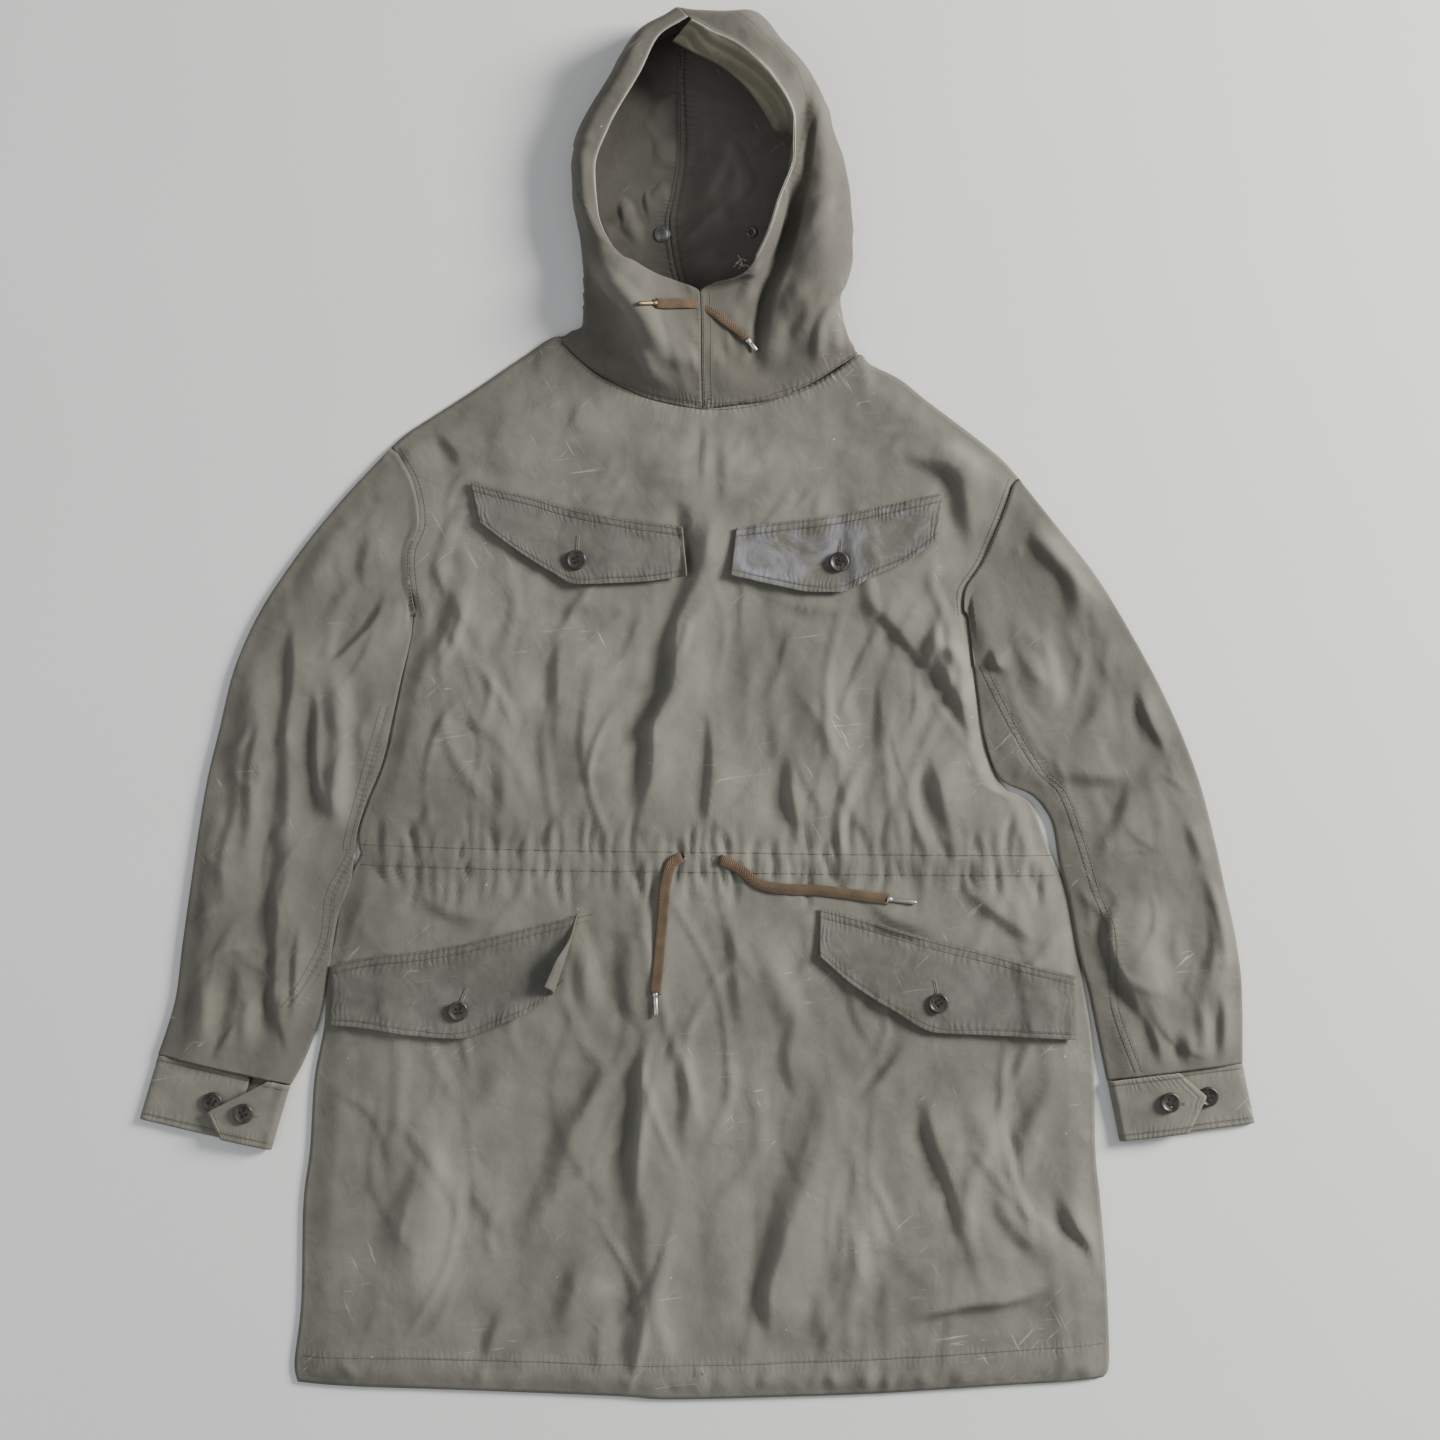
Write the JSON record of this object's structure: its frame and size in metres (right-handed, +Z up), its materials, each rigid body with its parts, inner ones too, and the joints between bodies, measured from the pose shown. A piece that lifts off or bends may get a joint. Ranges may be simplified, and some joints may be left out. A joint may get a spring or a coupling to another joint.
{
  "type": "anorak smock",
  "caption": "Hooded pullover smock of olive cotton, laid flat on its back, with flapped pockets, drawn-in waist and buttoned cuffs.",
  "frame": {"origin": "middle of the footprint, on the surface that the smock lies on", "axes": "+Y from hem to hood, +Z up out of the front, +X to the right seen from above with the hood away"},
  "size_m": [1.0062, 1.2458, 0.062],
  "materials": {
    "poplin": "matte",
    "flap_poplin": "matte",
    "button_horn": "satin",
    "lace_braid": "matte",
    "steel": "satin"
  },
  "bodies": {
    "root": {"body_front": "poplin", "body_back": "poplin", "sleeve_left": "poplin", "sleeve_right": "poplin", "hood_left": "poplin", "hood_right": "poplin", "hood_facing_left": "poplin", "hood_facing_right": "poplin", "flap_chest_left": "flap_poplin", "flap_chest_right": "flap_poplin", "flap_lower_left": "flap_poplin", "flap_lower_right": "flap_poplin", "cuff_left": "poplin", "cuff_right": "poplin", "button_chest_left": "button_horn", "button_chest_right": "button_horn", "button_lower_left": "button_horn", "button_lower_right": "button_horn", "button_cuff_left": "button_horn", "button_cuff_right": "button_horn", "button_spare_left": "button_horn", "button_spare_right": "button_horn", "snap_cap": "steel", "snap_socket": "steel", "lace_waist_left": "lace_braid", "lace_waist_right": "lace_braid", "lace_hood_left": "lace_braid", "lace_hood_right": "lace_braid", "tag_waist_left": "steel", "tag_waist_right": "steel", "tag_hood_left": "steel", "tag_hood_right": "steel"}
  },
  "joints": []
}
